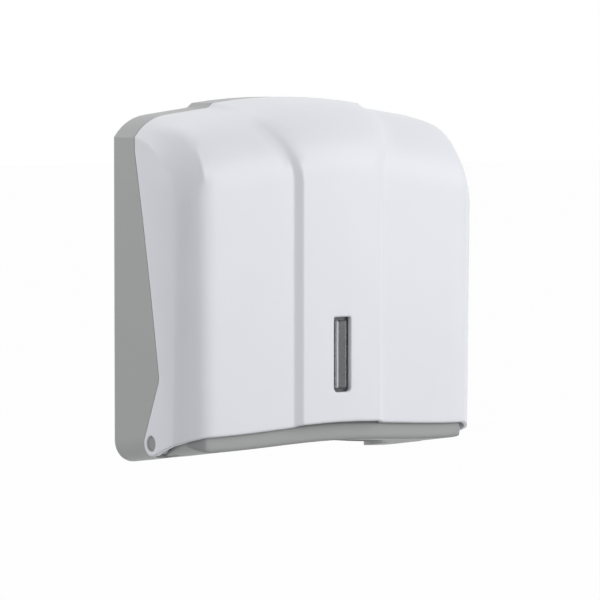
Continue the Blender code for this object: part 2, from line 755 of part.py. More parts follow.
def lock_levels():
    """Heights of the lock's pieces, from the top wall down."""
    level = {"flange_top": HEIGHT - FLANGE_SINK}
    level["flange_seat"] = level["flange_top"] - FLANGE_THICKNESS - FIT_GAP
    level["boss_low"] = HEIGHT - SHELL_WALL - LOCK_BOSS_RISE
    level["barrel_low"] = level["flange_top"] - BARREL_LENGTH
    level["core_low"] = level["barrel_low"] - CORE_TAIL
    level["cam_top"] = level["core_low"] - FIT_GAP
    level["cam_low"] = level["cam_top"] - CAM_THICKNESS
    level["neck_low"] = level["cam_low"] - FIT_GAP
    level["washer_top"] = level["neck_low"] - FIT_GAP
    level["washer_low"] = level["washer_top"] - WASHER_THICKNESS
    level["screw_top"] = level["washer_low"] - FIT_GAP
    return level


def add_lock_seat(shell):
    level = lock_levels()
    centre = (0, LOCK_DEPTH)
    top = HEIGHT - SHELL_WALL / 2
    join(shell, rod("lock_boss", "plan", centre, LOCK_BOSS_RADIUS, level["boss_low"], top))
    recess = FLANGE_RADIUS + FIT_GAP
    cut(shell, rod("flange_recess", "plan", centre, recess, level["flange_seat"], HEIGHT + OVERRUN))
    bore = BARREL_RADIUS + FIT_GAP
    cut(shell, rod("barrel_bore", "plan", centre, bore, level["boss_low"] - OVERRUN, HEIGHT + OVERRUN))


def make_front_cover(material):
    cover = skin("front_cover", 0.0, -OVERRUN, SEAM_DEPTH - SHOULDER_FLAT, material)
    inner_back = SEAM_DEPTH - SHOULDER_FLAT - OVERRUN
    cut(cover, skin("cover_hollow", COVER_WALL, -2 * OVERRUN, inner_back))
    keep(cover, ear_side())
    cut(cover, below_edge("lower_edge_cut", 0.0))
    add_ears(cover)
    add_window_seat(cover)
    join(cover, make_hook())
    return smooth(cover)


def ear_side():
    """Everything in front of the cover's rear edge, with the round ear below."""
    points = rear_edge(0.0)
    foot = arc((PIVOT_DEPTH, PIVOT_HEIGHT), EAR_RADIUS, 180, 270 + math.degrees(LOWER_ANGLE), ARC_STEPS)
    points += foot[1:]
    far = FRONT_DEPTH + OVERRUN
    points += [(points[-1][0], -OVERRUN), (far, -OVERRUN), (far, HEIGHT + OVERRUN)]
    return plate("cover_side", "side", points, -HALF - OVERRUN, HALF + OVERRUN)


def add_ears(cover):
    for label, side in SIDES.items():
        inner = HALF - EAR_THICKNESS
        boss = hinge_rod("ear_boss_" + label, side, EAR_RADIUS - BOSS_STEP, inner, HALF - COVER_WALL / 2)
        join(cover, boss)
        hole = hinge_rod("ear_hole_" + label, side, PIN_RADIUS + FIT_GAP, inner - OVERRUN, HALF + OVERRUN)
        sink = HALF - PIN_HEAD_SINK - PIN_HEAD_THICKNESS - FIT_GAP
        seat = hinge_rod("head_seat_" + label, side, PIN_HEAD_RADIUS + FIT_GAP, sink, HALF + OVERRUN)
        cut(cover, hole, seat)


def pane_face():
    """Depth of the window's front face."""
    return FRONT_DEPTH - WINDOW_SETBACK


def post_heights():
    return {"lower": WINDOW_LOW - POST_OFFSET, "upper": WINDOW_HIGH + POST_OFFSET}


def pane_back():
    return pane_face() - PANE_THICKNESS


def add_window_seat(cover):
    """The slot, the low frame round it and the two posts that carry the window."""
    rounds = (WINDOW_LOW_ROUND, WINDOW_TOP_ROUND)
    wide = WINDOW_HALF + WINDOW_FRAME
    frame = round_box(
        -wide, wide, WINDOW_LOW - WINDOW_FRAME, WINDOW_HIGH + WINDOW_FRAME,
        rounds[0] + WINDOW_FRAME, rounds[1] + WINDOW_FRAME,
    )
    seat = pane_face() + FIT_GAP
    inside = FRONT_DEPTH - COVER_WALL / 2
    join(cover, plate("window_frame", "front", frame, seat, inside))
    for label, height in post_heights().items():
        tail = pane_back() - FIT_GAP - WINDOW_CLIP_THICKNESS - POST_TAIL
        join(cover, rod("post_" + label, "front", (0, height), POST_RADIUS, tail, inside, ROUND_STEPS // 2))
    slot = round_box(-WINDOW_HALF, WINDOW_HALF, WINDOW_LOW, WINDOW_HIGH, *rounds)
    cut(cover, plate("window_slot", "front", slot, seat - OVERRUN, FRONT_DEPTH + OVERRUN))


def make_hook():
    """Hook on the cover's top that the lock's tongue holds."""
    level = lock_levels()
    tip_front = LOCK_DEPTH - CAM_HALF - SEAM_GAP
    tip_rear = tip_front - HOOK_TIP
    arm_low = level["cam_top"] + HOOK_ROOM
    arm_high = arm_low + HOOK_ARM
    root = SEAM_DEPTH + RIM_REACH + 2 * HOOK_ROOM
    root_front = root + HOOK_ROOT
    skin_middle = HEIGHT - CROWN * (HOOK_X / BAND_HALF_AT_SEAM) ** 2 - COVER_WALL / 2 - BOSS_STEP
    tip_low = level["cam_low"] - HOOK_TIP_DROP
    outline = [
        (tip_rear, tip_low), (tip_front, tip_low), (tip_front, arm_low), (root_front, arm_low),
        (root_front, skin_middle - slope_drop(root_front)), (root, skin_middle - slope_drop(root)),
        (root, arm_high), (tip_rear, arm_high),
    ]
    return plate("hook", "side", outline, HOOK_X, HOOK_X + HOOK_WIDTH)


def make_sight_window(material):
    tab = WINDOW_HALF + PANE_MARGIN
    outline = round_box(-tab, tab, WINDOW_LOW - PANE_TAB, WINDOW_HIGH + PANE_TAB, PANE_ROUND, PANE_ROUND)
    window = plate("sight_window", "front", outline, pane_back(), pane_face(), material)
    for label, height in post_heights().items():
        hole = rod(
            "pane_hole_" + label, "front", (0, height), POST_RADIUS + FIT_GAP,
            pane_back() - OVERRUN, pane_face() + OVERRUN, ROUND_STEPS // 2,
        )
        cut(window, hole)
    return window


def make_window_clips(material):
    for label, height in post_heights().items():
        front = pane_back() - FIT_GAP
        inner = POST_RADIUS + FIT_GAP
        profile = ring_profile(inner, inner + WINDOW_CLIP_RIM, 0, WINDOW_CLIP_THICKNESS, 0)
        clip = turned("window_clip_" + label, profile, place(0, front, height), material)
        clip.rotation_euler = (math.radians(-90), 0, 0)


def tray_plan(inset):
    """The tray's outline from above, inset from the cover's outer surface."""
    edge = FACET_X - PANEL_MITRE_SHARE * inset
    side = HALF - inset
    front = PANEL_DEPTH - inset
    turn = SIDE_DEPTH - SIDE_MITRE_SHARE * inset
    rear = CHASSIS_LOW_DEPTH + FIT_GAP + inset - LIP_INSET
    half = [(edge, front), (side, turn), (side, rear)]
    return [(-x, depth) for x, depth in reversed(half)] + half


def outlet_ring(height, grow):
    outline = slot_outline((0, OUTLET_DEPTH), OUTLET_HALF + grow, OUTLET_HALF_DEPTH + grow)
    return [place(x, depth, height) for x, depth in outline]


def make_outlet_tray(material):
    top = lower_edge(FRONT_DEPTH) + FRONT_ARCH + LIP_OVERLAP + OVERRUN
    tray = plate("outlet_tray", "plan", tray_plan(LIP_INSET), -OVERRUN, top, material)
    start = CHASSIS_LOW_DEPTH - OVERRUN
    shape = {"half_width": HALF - LIP_INSET, "radius": TRAY_CORNER_RADIUS}
    keep(tray, body("tray_outside", 0.0, start, FRONT_DEPTH, **shape))
    hollow = plate("tray_hollow", "plan", tray_plan(LIP_INSET + TRAY_WALL), -OVERRUN, top + OVERRUN)
    keep(hollow, body("tray_inside", TRAY_WALL, start, FRONT_DEPTH, **shape))
    cut(tray, hollow)
    keep(tray, below_edge("lip_edge", LIP_OVERLAP))
    shelf_low = SHELF_HEIGHT
    shelf_top = shelf_low + TRAY_WALL
    rear = SHELL_WALL + FIT_GAP
    shelf = box_outline(-SHELF_HALF, SHELF_HALF, rear, SHELF_FRONT)
    join(tray, plate("shelf", "plan", shelf, shelf_low, shelf_top))
    reach = SHELF_HALF - BOSS_STEP
    fill = box_outline(-reach, reach, start + OVERRUN + 2 * BOSS_STEP, SHELF_FRONT + BOSS_STEP)
    fill = plate("shelf_fill", "plan", fill, -OVERRUN, shelf_low + BOSS_STEP)
    keep(fill, body("fill_limit", 0.0, start, FRONT_DEPTH, lift=BOSS_STEP))
    join(tray, fill)
    collar_outline = slot_outline(
        (0, OUTLET_DEPTH), OUTLET_HALF + OUTLET_WALL, OUTLET_HALF_DEPTH + OUTLET_WALL
    )
    collar = plate("collar", "plan", collar_outline, -OVERRUN, shelf_top - BOSS_STEP)
    keep(collar, body("collar_limit", BOSS_STEP, SHELL_WALL, FRONT_DEPTH))
    join(tray, collar)
    clear_top = underside(OUTLET_DEPTH + OUTLET_HALF_DEPTH) + REAR_ARCH + TRAY_WALL + OVERRUN
    rings = [
        outlet_ring(-OVERRUN, OUTLET_FLARE / 2),
        outlet_ring(underside(OUTLET_DEPTH), OUTLET_FLARE / 4),
        outlet_ring(shelf_low + BOSS_STEP, 0.0),
        outlet_ring(clear_top, 2 * OUTLET_FLARE),
    ]
    cut(tray, loft("outlet_cut", rings))
    for label, side in SIDES.items():
        walls = sorted((side * (LUG_INNER - EAR_POCKET), side * HALF))
        cut(tray, plate("tray_pocket_" + label, "side", lug_outline(EAR_RADIUS + EAR_POCKET), *walls))
    for label, x, row, depth in screw_places():
        bore = TRAY_SCREW_RADIUS + FIT_GAP
        name = f"tray_bore_{row}_{label}"
        cut(tray, rod(name, "plan", (x, depth), bore, shelf_low - OVERRUN, shelf_top + OVERRUN))
    return smooth(tray)


def make_tray_screws(material):
    seat = SHELF_HEIGHT + TRAY_WALL + FIT_GAP
    for label, x, row, depth in screw_places():
        tip = underside(depth) + SCREW_EDGE - seat
        profile = [
            (0, TRAY_SCREW_HEAD_RISE), (TRAY_SCREW_HEAD_RADIUS - SCREW_EDGE, TRAY_SCREW_HEAD_RISE),
            (TRAY_SCREW_HEAD_RADIUS, TRAY_SCREW_HEAD_RISE - SCREW_EDGE), (TRAY_SCREW_HEAD_RADIUS, 0),
            (TRAY_SCREW_RADIUS, 0), (TRAY_SCREW_RADIUS, tip + SCREW_EDGE), (0, tip),
        ]
        turned(f"tray_screw_{row}_{label}", profile, place(x, depth, seat), material, steps=ROUND_STEPS // 2)


def make_hinge_pins(pin_material, clip_material):
    """Each pin lies along x: its head fills the ear's recess, and a clip sits in a groove behind the lug."""
    head = HALF - PIN_HEAD_SINK
    seat = head - PIN_HEAD_THICKNESS
    clip_outer = LUG_INNER - FIT_GAP
    clip_inner = clip_outer - CLIP_THICKNESS
    tail = clip_inner - PIN_TAIL
    groove = PIN_RADIUS - CLIP_GROOVE
    profile = [
        (0, head), (PIN_HEAD_RADIUS - PIN_HEAD_EDGE, head), (PIN_HEAD_RADIUS, head - PIN_HEAD_EDGE),
        (PIN_HEAD_RADIUS, seat), (PIN_RADIUS, seat), (PIN_RADIUS, clip_outer + FIT_GAP),
        (groove, clip_outer + FIT_GAP), (groove, clip_inner - FIT_GAP), (PIN_RADIUS, clip_inner - FIT_GAP),
        (PIN_RADIUS, tail + PIN_TIP), (PIN_RADIUS - PIN_TIP, tail), (0, tail),
    ]
    ring = ring_profile(groove + FIT_GAP, groove + FIT_GAP + CLIP_RIM, clip_inner, clip_outer, 0)
    for label, side in SIDES.items():
        where = place(0, PIVOT_DEPTH, PIVOT_HEIGHT)
        turned("hinge_pin_" + label, profile, where, pin_material, turn_y=side * 90)
        turned("pin_clip_" + label, ring, where, clip_material, turn_y=side * 90)


def make_lock(metal, steel):
    level = lock_levels()
    origin = place(0, LOCK_DEPTH, 0)
    centre = (0, LOCK_DEPTH)
    bore = CORE_RADIUS + FIT_GAP
    flange_low = level["flange_top"] - FLANGE_THICKNESS
    barrel = [
        (bore, level["flange_top"]), (FLANGE_RADIUS - SCREW_EDGE, level["flange_top"]),
        (FLANGE_RADIUS, level["flange_top"] - SCREW_EDGE), (FLANGE_RADIUS, flange_low),
        (BARREL_RADIUS, flange_low), (BARREL_RADIUS, level["barrel_low"]),
        (bore, level["barrel_low"]), (bore, level["flange_top"]),
    ]
    turned("lock_barrel", barrel, origin, metal)
    nut_top = level["boss_low"] - FIT_GAP
    nut_bore = BARREL_RADIUS + FIT_GAP
    turn = 360 / NUT_SIDES
    hexagon = arc(centre, NUT_RADIUS, 0, 360 - turn, NUT_SIDES - 1)
    nut = plate("lock_nut", "plan", hexagon, nut_top - NUT_THICKNESS, nut_top, steel)
    nut_low = nut_top - NUT_THICKNESS
    cut(nut, rod("nut_bore", "plan", centre, nut_bore, nut_low - OVERRUN, nut_top + OVERRUN))
    core_top = level["flange_top"] - CORE_SINK
    thread = CAM_SCREW_RADIUS + FIT_GAP
    thread_top = level["screw_top"] + CAM_SCREW_LENGTH + CAM_SCREW_END_ROOM
    core = [
        (0, core_top), (CORE_RADIUS - SCREW_EDGE, core_top), (CORE_RADIUS, core_top - SCREW_EDGE),
        (CORE_RADIUS, level["core_low"]), (NECK_RADIUS, level["core_low"]), (NECK_RADIUS, level["neck_low"]),
        (thread, level["neck_low"]), (thread, thread_top), (0, thread_top),
    ]
    plug = turned("lock_core", core, origin, metal)
    wide = KEY_SLOT_WIDTH / 2
    key = box_outline(-wide, wide, LOCK_DEPTH - KEY_SLOT_HALF, LOCK_DEPTH + KEY_SLOT_HALF)
    cut(plug, plate("key_slot", "plan", key, core_top - KEY_SLOT_DROP, core_top + OVERRUN))
    hub = arc(centre, CAM_HUB_RADIUS, 90 + cam_side_angle(), 450 - cam_side_angle(), 2 * ARC_STEPS)
    tongue = arc((0, LOCK_DEPTH + CAM_LENGTH - CAM_HALF), CAM_HALF, 0, 180, ARC_STEPS)
    cam = plate("lock_cam", "plan", hub + tongue, level["cam_low"], level["cam_top"], steel)
    neck_hole = NECK_RADIUS + FIT_GAP
    ends = (level["cam_low"] - OVERRUN, level["cam_top"] + OVERRUN)
    cut(cam, rod("cam_hole", "plan", centre, neck_hole, *ends))
    washer = ring_profile(thread, WASHER_RADIUS, level["washer_low"], level["washer_top"], 0)
    turned("cam_washer", washer, origin, steel)
    head_low = level["screw_top"] - CAM_SCREW_HEAD_RISE
    tip = level["screw_top"] + CAM_SCREW_LENGTH
    screw = [
        (0, tip), (CAM_SCREW_RADIUS, tip - SCREW_EDGE), (CAM_SCREW_RADIUS, level["screw_top"]),
        (CAM_SCREW_HEAD_RADIUS, level["screw_top"]), (CAM_SCREW_HEAD_RADIUS, head_low + SCREW_EDGE),
        (CAM_SCREW_HEAD_RADIUS - SCREW_EDGE, head_low), (0, head_low),
    ]
    turned("cam_screw", screw, origin, steel)


def cam_side_angle():
    """Half the angle of the hub that the tongue takes."""
    return math.degrees(math.asin(CAM_HALF / CAM_HUB_RADIUS))


clear_scene()
PARTS = new_collection("folded_paper_towel_dispenser")
CUTTERS = new_collection("cutters")
GREY = new_material("grey_abs", (0.41, 0.42, 0.41), 0.45)
WHITE = new_material("white_abs", (0.81, 0.82, 0.85), 0.32)
SMOKE = new_material("smoked_polycarbonate", (0.07, 0.07, 0.08), 0.12, alpha=0.6)
PIN_GREY = new_material("grey_nylon", (0.26, 0.27, 0.27), 0.45)
ZINC = new_material("zinc_casting", (0.55, 0.55, 0.56), 0.35, 1.0)
STEEL = new_material("plated_steel", (0.60, 0.60, 0.58), 0.32, 1.0)

make_back_shell(GREY)
make_outlet_tray(GREY)
make_tray_screws(STEEL)
make_front_cover(WHITE)
make_sight_window(SMOKE)
make_window_clips(STEEL)
make_hinge_pins(PIN_GREY, STEEL)
make_lock(ZINC, STEEL)
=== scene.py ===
# %% [markdown]
# # A folded paper towel dispenser, dressed for the camera
#
# The dispenser is a moulded plastic box for a washroom wall. A grey chassis is screwed to the wall,
# a white cover hangs on two pins at its lower corners, and a smoked window shows how many towels
# are left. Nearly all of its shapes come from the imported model, so this lesson is mostly about
# surfaces and light.

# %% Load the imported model
import math

import bmesh
import bpy
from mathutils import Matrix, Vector


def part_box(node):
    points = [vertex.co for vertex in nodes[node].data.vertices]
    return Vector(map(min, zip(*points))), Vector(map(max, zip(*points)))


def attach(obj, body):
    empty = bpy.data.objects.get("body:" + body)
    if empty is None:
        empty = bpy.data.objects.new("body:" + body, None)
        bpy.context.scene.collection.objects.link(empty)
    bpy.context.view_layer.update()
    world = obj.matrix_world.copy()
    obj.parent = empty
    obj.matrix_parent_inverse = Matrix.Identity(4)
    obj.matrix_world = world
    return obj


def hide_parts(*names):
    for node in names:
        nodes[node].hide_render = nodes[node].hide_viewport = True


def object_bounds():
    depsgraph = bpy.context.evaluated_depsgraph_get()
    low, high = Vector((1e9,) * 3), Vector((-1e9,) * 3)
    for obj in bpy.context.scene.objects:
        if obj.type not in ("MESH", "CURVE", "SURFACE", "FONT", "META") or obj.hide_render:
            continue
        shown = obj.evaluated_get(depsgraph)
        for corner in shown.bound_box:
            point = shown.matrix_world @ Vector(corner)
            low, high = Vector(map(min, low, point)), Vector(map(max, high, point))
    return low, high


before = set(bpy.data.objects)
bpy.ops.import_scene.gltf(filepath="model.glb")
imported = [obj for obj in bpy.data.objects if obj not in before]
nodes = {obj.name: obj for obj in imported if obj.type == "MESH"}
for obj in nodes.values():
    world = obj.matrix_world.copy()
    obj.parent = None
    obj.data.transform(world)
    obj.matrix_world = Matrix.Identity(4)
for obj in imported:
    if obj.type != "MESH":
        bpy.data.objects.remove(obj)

cad_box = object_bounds()
print("pieces in the frame:", len(nodes))
print("size in mm:", [round(1000 * (high - low), 1) for low, high in zip(*cad_box)])

# %% [markdown]
# ## Lengths and colours
#
# A maker thinks in millimetres, and any paint program shows a colour as a hex code. Blender works
# in metres and in linear light. So lengths are multiplied by one factor, and one small function
# turns a hex code into the colour that Blender needs.

# %% Millimetres and linear light
MM = 0.001


def linear(hex_code):
    """A linear colour from an sRGB hex code."""
    found = []
    for start in (1, 3, 5):
        value = int(hex_code[start:start + 2], 16) / 255
        found.append(value / 12.92 if value <= 0.04045 else ((value + 0.055) / 1.055) ** 2.4)
    return (*found, 1.0)


print("middle grey in linear light:", [round(v, 3) for v in linear("#808080")])

# %% [markdown]
# ## Nodes
#
# A material is a small network of nodes. It could be drawn by hand in the shader editor, but a
# script makes the same network every time. One function adds a node, sets its values and joins it
# to the nodes before it, so that each material below reads like a recipe.


# %% Add a node
def add_node(tree, kind, links=None, **settings):
    """Adds a node. A setting names a property or an input, with an underscore for a space."""
    node = tree.nodes.new(kind)
    for name, value in settings.items():
        if hasattr(node, name):
            setattr(node, name, value)
        else:
            node.inputs[name.replace("_", " ")].default_value = value
    for socket, source in (links or {}).items():
        tree.links.new(source, node.inputs[socket])
    return node


def start_material(name, colour, **finish):
    """A material with one shader, and the object's own coordinates for patterns of a real size."""
    material = bpy.data.materials.new(name)
    material.diffuse_color = linear(colour)
    material.use_nodes = True
    tree = material.node_tree
    tree.nodes.clear()
    shader = add_node(tree, "ShaderNodeBsdfPrincipled", Base_Color=linear(colour), **finish)
    add_node(tree, "ShaderNodeOutputMaterial", {"Surface": shader.outputs["BSDF"]})
    place = add_node(tree, "ShaderNodeTexCoord").outputs["Object"]
    return material, tree, shader, place


# %% [markdown]
# ## Smooth shading that keeps real edges
#
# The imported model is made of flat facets. Real mouldings are polished, so facets that meet at a
# small angle are shaded as one surface, and an edge stays crisp only where the tool had one. The
# edges could be marked in each mesh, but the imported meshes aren't changed. A small network of
# geometry nodes does it to a copy at render time instead.

# %% Smooth by angle
CRISP_ANGLE = math.radians(28)
WELD_DISTANCE = 0.004 * MM


def make_smoother():
    """Geometry nodes that shade faces smooth and keep every edge above the crisp angle."""
    tree = bpy.data.node_groups.new("smooth_by_angle", "GeometryNodeTree")
    tree.interface.new_socket("Geometry", in_out="INPUT", socket_type="NodeSocketGeometry")
    tree.interface.new_socket("Geometry", in_out="OUTPUT", socket_type="NodeSocketGeometry")
    start = add_node(tree, "NodeGroupInput")
    bare = add_node(
        tree, "GeometryNodeRemoveAttribute", {"Geometry": start.outputs[0]}, Name="custom_normal"
    )
    weld = add_node(
        tree, "GeometryNodeMergeByDistance", {"Geometry": bare.outputs[0]}, Distance=WELD_DISTANCE
    )
    smooth = add_node(
        tree, "GeometryNodeSetShadeSmooth", {"Geometry": weld.outputs[0]},
        domain="FACE", Shade_Smooth=True,
    )
    angle = add_node(tree, "GeometryNodeInputMeshEdgeAngle")
    sharp = add_node(
        tree, "FunctionNodeCompare", {"A": angle.outputs["Unsigned Angle"]},
        data_type="FLOAT", operation="GREATER_THAN", B=CRISP_ANGLE,
    )
    crisp = add_node(
        tree, "GeometryNodeSetShadeSmooth",
        {"Geometry": smooth.outputs[0], "Selection": sharp.outputs[0]},
        domain="EDGE", Shade_Smooth=False,
    )
    add_node(tree, "NodeGroupOutput", {0: crisp.outputs[0]})
    return tree


SMOOTHER = make_smoother()
print("edges stay crisp above", round(math.degrees(CRISP_ANGLE)), "degrees")


# %% Dress a piece
def dress(piece, material):
    """Gives a piece its material and smooth shading."""
    piece.material_slots[0].material = material
    piece.modifiers.new("smooth_by_angle", "NODES").node_group = SMOOTHER


# %% [markdown]
# ## White ABS
#
# The cover is ABS, injection moulded in a polished tool and coloured through. To the eye it is a
# cool white with a soft sheen. Three things keep it from looking like paper: a very shallow
# waviness, because a thin wall sinks a little as it cools, a fine grain that breaks up the
# highlight, and edges that are never quite sharp. All three could be cut into the mesh, but they
# are shallower than its facets. So the shader bends the light instead, with two noise patterns and
# a Bevel node. Real grain is finer than a pixel of the render, so it is drawn 0.9 mm wide. ABS has
# an index of refraction of about 1.54.

# %% White ABS, moulded
ABS_IOR = 1.54
SINK_SPACING = 38 * MM
SINK_DEPTH = 0.4 * MM
SINK_STRENGTH = 0.04
GRAIN_SPACING = 0.9 * MM
GRAIN_DEPTH = 0.05 * MM
ROUGHNESS_DRIFT = (-0.04, 0.05)
EDGE_SAMPLES = 6


def moulded_plastic(name, colour, shade, roughness, grain, edge_radius):
    """Coloured plastic with slow waves, fine grain, a slight drift in colour and soft edges."""
    material, tree, shader, place = start_material(name, colour, IOR=ABS_IOR)
    waves = add_node(
        tree, "ShaderNodeTexNoise", {"Vector": place}, Scale=1 / SINK_SPACING, Detail=1.0
    )
    fine = add_node(
        tree, "ShaderNodeTexNoise", {"Vector": place}, Scale=1 / GRAIN_SPACING, Detail=3.0
    )
    tint = add_node(
        tree, "ShaderNodeMix", {"Factor": waves.outputs["Fac"]},
        data_type="RGBA", A=linear(shade), B=linear(colour),
    )
    rough = add_node(
        tree, "ShaderNodeMapRange", {"Value": fine.outputs["Fac"]},
        To_Min=roughness + ROUGHNESS_DRIFT[0], To_Max=roughness + ROUGHNESS_DRIFT[1],
    )
    edges = add_node(tree, "ShaderNodeBevel", samples=EDGE_SAMPLES, Radius=edge_radius)
    slow = add_node(
        tree, "ShaderNodeBump", {"Height": waves.outputs["Fac"], "Normal": edges.outputs["Normal"]},
        Strength=SINK_STRENGTH, Distance=SINK_DEPTH,
    )
    skin = add_node(
        tree, "ShaderNodeBump", {"Height": fine.outputs["Fac"], "Normal": slow.outputs["Normal"]},
        Strength=grain, Distance=GRAIN_DEPTH,
    )
    tree.links.new(tint.outputs["Result"], shader.inputs["Base Color"])
    tree.links.new(rough.outputs["Result"], shader.inputs["Roughness"])
    tree.links.new(skin.outputs["Normal"], shader.inputs["Normal"])
    return material


white_abs = moulded_plastic(
    "white_abs_polished", "#E9EAEE", shade="#E6E7EB", roughness=0.42, grain=0.12,
    edge_radius=3 * MM,
)
print("made:", white_abs.name)

# %% [markdown]
# ## The step beside the raised band
#
# The cover's raised band ends on each side in a step 4 mm high. In the photograph the step is a
# straight slope about 6 mm wide, and it turns outwards gently at the top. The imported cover's step
# is S-shaped and about 2 mm further in. The cover could be modelled anew for this, but everything
# else about it is right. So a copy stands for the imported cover, and in the copy the points of the
# step slide along their own rows, outside and inside.
#
# One function gives the place of the step's points in both shapes. The first row is where the flat
# front ends, and the rows above it climb the shoulder in turns of 10 degrees. Heights count from
# the dispenser's lowest edge, which is 150 mm below the origin, and depths from the wall.

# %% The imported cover's sizes
MOUNT_HEIGHT = 150 * MM
COVER_WALL = 2.6 * MM
BAND_DEPTH = 104.2 * MM
BAND_TOP = 276.3 * MM
BAND_RISE = 4 * MM
EAVE_X = 112.5 * MM
EAVE_TOP = 267 * MM
EAVE_SLOPE = 5.3 / 38.5
SHOULDER_RADIUS = 46 * MM
SHOULDER_ROWS = 10
TOP_START = 31 * MM
TOP_SLOPE = 0.18
print("height of the cover's band in mm:", round(BAND_TOP / MM, 1))

# %% [markdown]
# ## Two shapes of the step
#
# At the cover's foot the step has a half width, where it starts, and a run, over which it falls.
# On the way up to the seam both change towards a second pair of values: the spread says how far
# they get, and the power how late. A row has four points at shares of the run, and the drops are
# the shares of the height that are lost there. The photograph's slope is straight, so its drops
# are the same as the runs.

# %% Points of the step
RUN_SHARES = (0.0, 0.24, 0.76, 1.0)
PACKED_STEP = {
    "foot": (34 * MM, 5 * MM), "seam": (67 * MM, 7 * MM), "spread": 0.8, "power": 1.4,
    "drops": (0.0, 0.1, 0.9, 1.0),
}
PHOTO_STEP = {
    "foot": (36.2 * MM, 5.8 * MM), "seam": (63.5 * MM, 14 * MM), "spread": 0.65, "power": 1.8,
    "drops": RUN_SHARES,
}


def between(start, end, share):
    """The value at a share of the way from start to end."""
    return start + (end - start) * share


def step_row(row, inset, foot, seam, spread, power, drops):
    """One row of the step's points, from the band outwards: x, depth and height."""
    angle = math.radians(90) * row / (SHOULDER_ROWS - 1)
    flare = spread * math.sin(angle) ** power
    mitre = math.tan(math.atan2(BAND_RISE, foot[1]) / 2) * inset
    half = between(foot[0], seam[0], flare) - mitre
    width = between(foot[1], seam[1], flare)
    radius = SHOULDER_RADIUS - inset
    points = []
    for run, drop in zip(RUN_SHARES, drops):
        x = half + width * run
        front = BAND_DEPTH - BAND_RISE * drop - inset
        top = between(BAND_TOP, EAVE_TOP + (EAVE_X - x) * EAVE_SLOPE, drop) - inset
        depth = between(max(front - radius, TOP_START), front, math.cos(angle))
        height = top - TOP_SLOPE * (depth - TOP_START) - radius * (1 - math.sin(angle))
        points.append((x, depth, height))
    return points


for title, step in (("packed", PACKED_STEP), ("photographed", PHOTO_STEP)):
    first, last = step_row(0, 0.0, **step)[0], step_row(0, 0.0, **step)[-1]
    print(title, "step at the foot, x in mm:", round(first[0] / MM, 1), round(last[0] / MM, 1))

# %% [markdown]
# ## Slide the points
#
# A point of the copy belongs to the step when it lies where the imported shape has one. Below the
# first row the front is flat, so there only the sideways place and the depth count, and the points
# between two corners of the step follow its profile. The inside's last row stays, because the
# chassis's rim fits under it.

# %% Slide the points
NEAR = 0.03 * MM


def profile(x, points):
    """Depth of a row at x, level beyond its ends."""
    for (x0, depth0, _), (x1, depth1, _) in zip(points, points[1:]):
        if x <= x1:
            return between(depth0, depth1, max(0.0, (x - x0) / (x1 - x0)))
    return points[-1][1]


def slid(x, depth, height):
    """The new place of a point of the cover's right half, or None where it stays."""
    for inset, rows in ((0.0, SHOULDER_ROWS), (COVER_WALL, SHOULDER_ROWS - 1)):
        for row in range(rows):
            packed = step_row(row, inset, **PACKED_STEP)
            wanted = step_row(row, inset, **PHOTO_STEP)
            for old, new in zip(packed, wanted):
                if abs(x - old[0]) > NEAR or abs(depth - old[1]) > NEAR:
                    continue
                if abs(height - old[2]) < NEAR:
                    return new
                if row == 0 and height < old[2]:
                    return new[0], new[1], height
            if row == 0 and height < packed[0][2] and packed[0][0] < x < wanted[-1][0]:
                if abs(depth - profile(x, packed)) < NEAR:
                    return x, profile(x, wanted), height
    return None


def reshape_cover():
    """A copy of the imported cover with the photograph's step, which stands for it."""
    mesh = nodes["front_cover"].data.copy()
    mesh.name = "cover_shell"
    count = 0
    for vert in mesh.vertices:
        x, y, z = vert.co
        place = slid(abs(x), -y, z + MOUNT_HEIGHT)
        if place:
            vert.co = (math.copysign(place[0], x), -place[1], place[2] - MOUNT_HEIGHT)
            count += 1
    cover = bpy.data.objects.new("cover_shell", mesh)
    bpy.context.scene.collection.objects.link(cover)
    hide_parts("front_cover")
    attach(cover, "cover")
    print("points of the step that slid:", count, "of", len(mesh.vertices))
    return cover


dress(reshape_cover(), white_abs)

# %% [markdown]
# ## Grey ABS
#
# The chassis is the same plastic in mid grey, from a tool with a spark-eroded finish, which gives
# it a duller surface and a stronger grain than the cover's. Only the values differ, so the same
# recipe makes it. The outlet tray is a moulding of its own. Its grey is painted slightly darker, as
# painted shade for the shade that falls on it under the cover's edge, and its lip is rounder, so
# its edges get a larger radius.

# %% Grey ABS, spark-eroded
grey_abs = moulded_plastic(
    "grey_abs_spark_eroded", "#AAAAA9", shade="#A7A7A6", roughness=0.46, grain=0.30,
    edge_radius=1.2 * MM,
)
# The tray's darker grey is painted shade for the shade under the cover's edge.
tray_abs_painted_shade = moulded_plastic(
    "grey_abs_tray_painted_shade", "#A2A2A1", shade="#9FA09F", roughness=0.46, grain=0.30, edge_radius=7 * MM
)
dress(nodes["back_shell"], grey_abs)
dress(nodes["outlet_tray"], tray_abs_painted_shade)
print("dressed in grey ABS: back_shell, outlet_tray")

# %% [markdown]
# ## Grey nylon
#
# The two hinge pins are nylon, because it slides well and wears little. Moulded nylon is satin to
# the eye, and a little darker here than the chassis. The recipe for ABS gives it too, as its index
# of refraction is nearly the same. The pins are small, so their edges are too.

# %% Grey nylon, moulded
grey_nylon = moulded_plastic(
    "grey_nylon_moulded", "#949595", shade="#8D8E8E", roughness=0.45, grain=0.30,
    edge_radius=0.4 * MM,
)
HINGE_PINS = ("hinge_pin_left", "hinge_pin_right")
for name in HINGE_PINS:
    dress(nodes[name], grey_nylon)
print("dressed in grey nylon:", ", ".join(HINGE_PINS))

